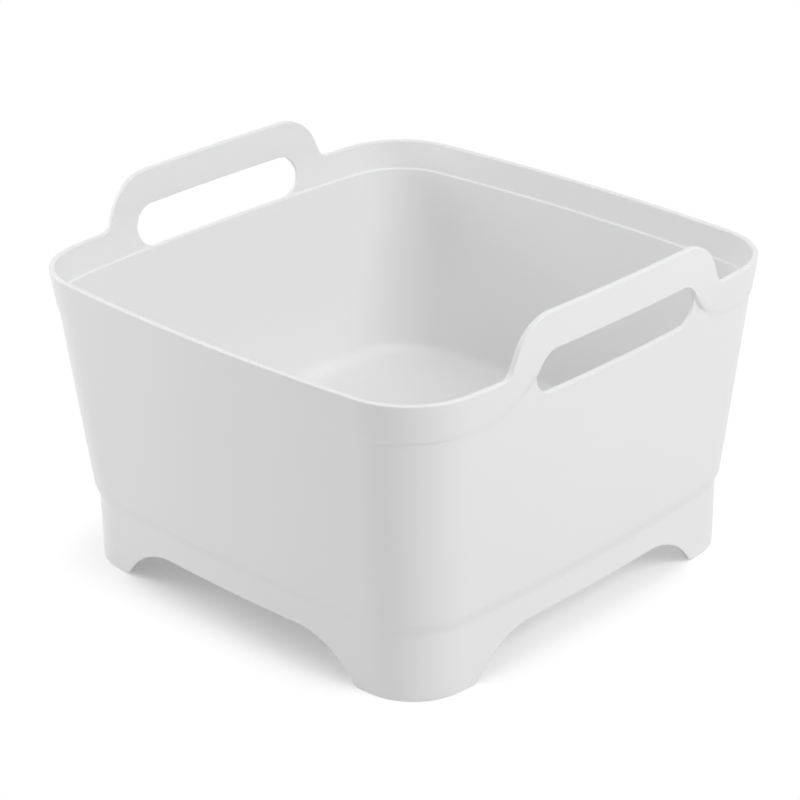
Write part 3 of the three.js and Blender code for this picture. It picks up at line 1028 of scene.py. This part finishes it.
gasket = {"outer": 45.5, "inner": 36.0, "edge": 0.4}


def makeGasket():
    shell = flatRing("drain_gasket", gasket["inner"], gasket["outer"], gasket["edge"], gasket["edge"])
    drainPiece("drainGasket", "drain_gasket", "basin", "sealRubber", shell)


strainer = {
    "flange": 45.5, "flangeThickness": 2.5, "cup": 35.5, "bore": 33.0, "floor": 2.5,
    "hub": 11.0, "hubHeight": 4.5, "stemHole": 4.9, "keyLength": 18.0, "keyWidth": 5.4,
    "hole": 2.1, "rings": ((15.1, 14), (22.0, 20), (28.9, 27)), "edge": 0.6, "cupRound": 1.2,
}


def makeStrainer():
    size = strainer
    low, high = span("strainer_cup")
    under, inside, hubTop = high - size["flangeThickness"], low + size["floor"], low + size["hubHeight"]
    edge, cupRound, past = size["edge"], size["cupRound"], size["floor"]
    shell = turnedShell([
        (0, low, 0), (size["cup"], low, cupRound), (size["cup"], under, edge), (size["flange"], under, edge),
        (size["flange"], high, edge), (size["bore"], high, edge), (size["bore"], inside, cupRound),
        (size["hub"], inside, edge), (size["hub"], hubTop, edge), (0, hubTop, 0),
    ])
    cuts = []
    for radius, count in size["rings"]:
        cuts.append(ringOf(count, radius, size["hole"], low - past, inside + past, math.pi / count))
    cuts.append(rowOf(1, 0.0, 0.0, size["stemHole"], low - past, hubTop + past))
    cuts.append(blockCut(size["keyLength"], size["keyWidth"], low - past, hubTop + past))
    drainPiece("strainerCup", "strainer_cup", "basin", "strainerPlastic", shell, cuts)


lockNut = {
    "outer": 44.0, "inner": 35.9, "edge": 0.7,
    "notches": 10, "notch": 4.0, "notchRing": 46.0, "notchRoof": 2.0,
}


def makeLockRing():
    size = lockNut
    low, high = span("lock_ring")
    shell = flatRing("lock_ring", size["inner"], size["outer"], size["edge"], size["edge"])
    roof = size["notchRoof"]
    cuts = [ringOf(size["notches"], size["notchRing"], size["notch"], low - roof, high - roof)]
    drainPiece("lockRing", "lock_ring", "basin", "strainerPlastic", shell, cuts)


disc = {
    "outer": 41.5, "thickness": 3.6, "edgeDrop": 1.6, "flat": 31.0, "bore": 4.9,
    "spigot": 32.4, "spigotWall": 2.5, "edge": 0.5, "rimRound": 1.0, "flatRound": 6.0,
}


def makeDisc():
    size = disc
    foot, top = span("plug_disc")
    low, edge, bore, spigot = top - size["thickness"], size["edge"], size["bore"], size["spigot"]
    spigotIn = spigot - size["spigotWall"]
    shell = turnedShell([
        (bore, low, edge), (spigotIn, low, edge), (spigotIn, foot, edge), (spigot, foot, edge),
        (spigot, low, 0), (size["outer"], low, edge),
        (size["outer"], top - size["edgeDrop"], size["rimRound"]),
        (size["flat"], top, size["flatRound"]), (bore, top, edge),
    ])
    drainPiece("plugDisc", "plug_disc", "plug", "plugPlastic", shell)


seal = {"inner": 32.7, "width": 6.0, "innerEdge": 0.4, "outerEdge": 0.8}


def makeSeal():
    inner = seal["inner"]
    shell = flatRing("plug_seal", inner, inner + seal["width"], seal["innerEdge"], seal["outerEdge"])
    drainPiece("plugSeal", "plug_seal", "plug", "sealRubber", shell)


stem = {
    "radius": 4.5, "collar": 7.5, "collarTop": 37.4, "collarHeight": 3.0, "edge": 0.5,
    "lugReach": 8.5, "lugWidth": 4.4, "lugHeight": 3.6, "lugRound": 1.2,
}


def makeStem():
    size = stem
    low, high = span("plug_stem")
    radius, edge, collar, collarTop = size["radius"], size["edge"], size["collar"], size["collarTop"]
    collarLow = collarTop - size["collarHeight"]
    shaft = turnedShell([
        (0, low, 0), (radius, low, edge), (radius, collarLow, edge), (collar, collarLow, edge),
        (collar, collarTop, edge), (radius, collarTop, 0), (radius, high, edge), (0, high, 0),
    ])
    half, middle = size["lugWidth"] / 2, low + size["lugHeight"] / 2
    path = barOutline(size["lugReach"], -half, half, size["lugRound"], size["lugRound"])[:-1]
    lugs = pillowShell(path, size["lugHeight"] / 2, edge, lambda u, v, w: (u, v, middle + w))
    drainPiece("plugStem", "plug_stem", "turn_key", "plugPlastic", joinShells(shaft, lugs))


grip = {
    "length": 56.0, "width": 13.0, "edge": 3.2, "lowRound": 3.5, "highRound": 7.0,
    "boss": 10.5, "bossHeight": 9.0, "bossEdge": 0.6, "bossRound": 2.0, "socket": 4.8, "socketDepth": 12.0,
    "grooves": 8, "groovePitch": 5.4, "groove": 1.6, "grooveDepth": 0.7, "grooveFoot": 48.0,
}


def makeGrip():
    size = grip
    low, high = span("plug_grip")
    path = barOutline(size["length"] / 2, low, high, size["lowRound"], size["highRound"])
    bar = pillowShell(path, size["width"] / 2, size["edge"], lambda u, v, w: (u, w, v))
    bossTop = low + size["bossHeight"]
    boss = turnedShell([
        (0, low, 0), (size["boss"], low, size["bossEdge"]),
        (size["boss"], low + size["bossHeight"] / 2, size["bossRound"]),
        (size["socket"], bossTop, 0), (0, bossTop, 0),
    ])
    groove, pitch, foot = size["groove"], size["groovePitch"], size["grooveFoot"]
    side = size["width"] / 2 + groove - size["grooveDepth"]
    cuts = [rowOf(size["grooves"], pitch, y, groove, foot, high + groove) for y in (-side, side)]
    cuts.append(rowOf(1, 0.0, 0.0, size["socket"], low - size["socketDepth"], low + size["socketDepth"]))
    drainPiece("plugGrip", "plug_grip", "turn_key", "gripRubber", joinShells(bar, boss), cuts)


makeGasket()
makeStrainer()
makeLockRing()
makeDisc()
makeSeal()
makeStem()
makeGrip()
print("drain made")


# floor, lamps and white surround
studio = {
    "floorSize": 12.0, "floorColor": 0.80, "floorGlow": 0.73, "ambient": 0.495,
    # painted light on the floor below the basin, stronger on the key lamp's side, and how far it spreads
    "footprint": 0.1, "shadowReach": 0.024, "whiteReach": 0.06, "paintedUnderLight": (0.27, 0.39), "paintedUnderReach": 0.1,
    "aim": (0, 0, 0.09),
    "lamps": [
        {"name": "keyLamp", "place": (1.4, 0.3, 1.2), "size": 0.9, "power": 12.1},
        {"name": "fillLamp", "place": (-0.75, -0.5, 0.5), "size": 0.5, "power": 2.75},
        {"name": "overLamp", "place": (0.06, -0.06, 0.85), "size": 0.5, "power": 0.74},
    ],
}


def cameraRays(tree):
    # 1 for rays that show the surround itself: straight, mirrored or through glass
    path = tree.nodes.new("ShaderNodeLightPath").outputs
    seen = path["Is Camera Ray"]
    for other in ("Is Glossy Ray", "Is Transmission Ray"):
        seen = addNode(tree, "ShaderNodeMath", {0: seen, 1: path[other]}, operation="MAXIMUM").outputs[0]
    return seen


def floorMaterial():
    material = bpy.data.materials.new("studioFloor")
    material.use_nodes = True
    tree = material.node_tree
    tree.nodes.clear()
    place = tree.nodes.new("ShaderNodeTexCoord").outputs["Object"]
    seen = cameraRays(tree)
    # painted light below the basin, stronger on the key lamp's side: a glow added to the floor that only
    # camera, glossy and transmission rays see, which lightens the shadow there
    across = addNode(tree, "ShaderNodeVectorMath", {0: place, 1: (1, 1, 0)}, operation="DOT_PRODUCT")
    low, high = studio["paintedUnderLight"]
    paintedUnderLight = addNode(tree, "ShaderNodeMapRange", {
        "Value": across.outputs["Value"], "To Min": low, "To Max": high,
        "From Min": -studio["paintedUnderReach"], "From Max": studio["paintedUnderReach"],
    })
    shown = addNode(tree, "ShaderNodeMath", {0: paintedUnderLight.outputs["Result"], 1: seen}, operation="MULTIPLY")
    lift = addNode(tree, "ShaderNodeEmission", {"Strength": shown.outputs[0]})
    matt = addNode(tree, "ShaderNodeBsdfDiffuse", {"Color": (*[studio["floorColor"]] * 3, 1)})
    shadowed = addNode(tree, "ShaderNodeAddShader", {0: matt.outputs[0], 1: lift.outputs[0]})
    # the shadow stays round the basin's footprint; further out the floor is the white of the surround
    away = place
    for operation, reach in (("ABSOLUTE", 0), ("SUBTRACT", studio["footprint"]), ("MAXIMUM", 0)):
        step = addNode(tree, "ShaderNodeVectorMath", {0: away, 1: (reach, reach, 0)}, operation=operation)
        away = step.outputs["Vector"]
    distance = addNode(tree, "ShaderNodeVectorMath", {0: away}, operation="LENGTH").outputs["Value"]
    clear = addNode(tree, "ShaderNodeMapRange", {
        "Value": distance, "From Min": studio["shadowReach"], "From Max": studio["whiteReach"],
    }, interpolation_type="SMOOTHSTEP")
    glow = addNode(tree, "ShaderNodeMath", {0: seen, 1: studio["floorGlow"]}, operation="MAXIMUM")
    white = addNode(tree, "ShaderNodeEmission", {"Strength": glow.outputs[0]})
    both = addNode(tree, "ShaderNodeMixShader", {
        "Fac": clear.outputs["Result"], 1: shadowed.outputs[0], 2: white.outputs[0],
    })
    addNode(tree, "ShaderNodeOutputMaterial", {"Surface": both.outputs[0]})
    return material


def addFloor():
    data = bpy.data.meshes.new("studioFloor")
    half = studio["floorSize"] / 2
    corners = [(-half, -half, 0), (half, -half, 0), (half, half, 0), (-half, half, 0)]
    data.from_pydata(corners, [], [(0, 1, 2, 3)])
    data.materials.append(floorMaterial())
    floor = bpy.data.objects.new("studioFloor", data)
    scene.collection.objects.link(floor)


def addWorld():
    world = bpy.data.worlds.new("studioWhite")
    scene.world = world
    world.use_nodes = True
    tree = world.node_tree
    tree.nodes.clear()
    ambient, white = [
        addNode(tree, "ShaderNodeBackground", {"Color": (1, 1, 1, 1), "Strength": strength}).outputs[0]
        for strength in (studio["ambient"], 1.0)
    ]
    pick = addNode(tree, "ShaderNodeMixShader", {"Fac": cameraRays(tree), 1: ambient, 2: white})
    addNode(tree, "ShaderNodeOutputWorld", {"Surface": pick.outputs[0]})


def addLamps():
    for lamp in studio["lamps"]:
        data = bpy.data.lights.new(lamp["name"], "AREA")
        data.shape = "DISK"
        data.size = lamp["size"]
        data.energy = lamp["power"]
        light = bpy.data.objects.new(lamp["name"], data)
        scene.collection.objects.link(light)
        place = Vector(lamp["place"])
        turn = (place - Vector(studio["aim"])).to_track_quat("Z", "Y")
        light.matrix_world = Matrix.Translation(place) @ turn.to_matrix().to_4x4()


addFloor()
addWorld()
addLamps()
print("studio lit")
